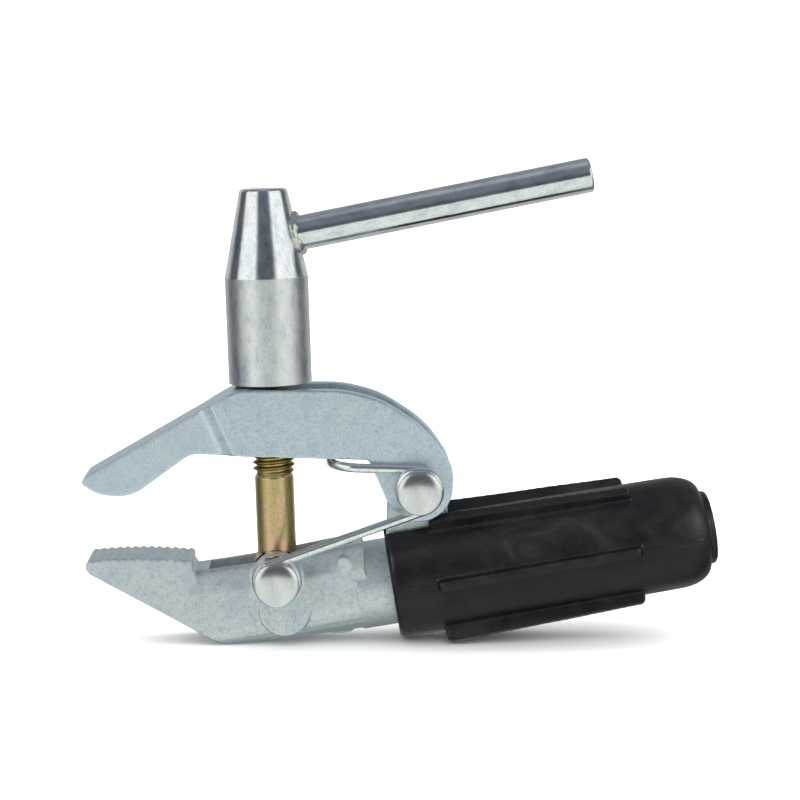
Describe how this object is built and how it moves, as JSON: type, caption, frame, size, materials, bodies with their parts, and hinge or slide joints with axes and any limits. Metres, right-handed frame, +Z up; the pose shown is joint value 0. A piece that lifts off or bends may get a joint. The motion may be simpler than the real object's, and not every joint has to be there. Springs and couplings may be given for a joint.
{
  "type": "earth clamp",
  "caption": "Screw-type welding earth clamp: toothed lower jaw, forked upper jaw, lever nut on a swing bolt, and a ribbed rubber cable sleeve.",
  "frame": {"origin": "bottom centre of the overall box, on the surface the clamp stands on, in its plane of symmetry", "axes": "+X along the clamp from the jaw tips to the handle, +Y away from the spring's side, +Z up"},
  "size_m": [0.1816, 0.042, 0.1379],
  "materials": {
    "casting": "zinc plated, grained",
    "pressed_steel": "blue-white zinc, satin",
    "rivet_steel": "zinc plated, satin",
    "spring_wire": "zinc plated, bright",
    "yellow_zinc": "yellow chromated, iridescent",
    "black_steel": "black oxide",
    "nut_steel": "zinc plated over turned steel, bright",
    "bar_steel": "zinc plated, bright",
    "sleeve_rubber": "soft sheen",
    "saddle_brass": "plain"
  },
  "bodies": {
    "lower": {"lower_jaw": "casting", "hinge_rivet": "rivet_steel", "bolt_rivet": "rivet_steel", "rivet_spacer": "rivet_steel", "jaw_spring": "spring_wire", "handle_sleeve": "sleeve_rubber", "cable_screw_front": "black_steel", "cable_screw_rear": "black_steel", "cable_saddle": "saddle_brass", "sleeve_screw": "rivet_steel"},
    "upper": {"upper_jaw": "pressed_steel"},
    "bolt": {"swing_bolt": "yellow_zinc"},
    "washer": {"thrust_washer": "black_steel"},
    "nut": {"lever_nut": "nut_steel", "lever_bar": "bar_steel"}
  },
  "joints": [
    {"name": "jaw_hinge", "type": "hinge", "parent": "lower", "child": "upper", "pos_m": [0.0041, 0, 0.0456], "axis": [0, 1, 0], "range_deg": [-11.4, 10], "deforming": ["jaw_spring"]},
    {"name": "bolt_swing", "type": "hinge", "parent": "lower", "child": "bolt", "pos_m": [-0.036, 0, 0.0198], "axis": [0, 1, 0], "range_deg": [-6.85, 6]},
    {"name": "nut_travel", "type": "slide", "parent": "bolt", "child": "washer", "axis": [-0.0305, 0, 0.9995], "range_m": [-0.00832, 0.0073]},
    {"name": "nut_turn", "type": "hinge", "parent": "washer", "child": "nut", "pos_m": [-0.036, 0, 0.0198], "axis": [-0.0305, 0, 0.9995], "range_deg": [-1711, 1501]}
  ],
  "couplings": [
    {"joint": "nut_travel", "follows": "nut_turn", "m_per_rad": 0.00027852},
    {"joint": "jaw_hinge", "follows": "nut_turn", "ratio": 0.006659},
    {"joint": "bolt_swing", "follows": "nut_turn", "ratio": 0.0039954}
  ]
}
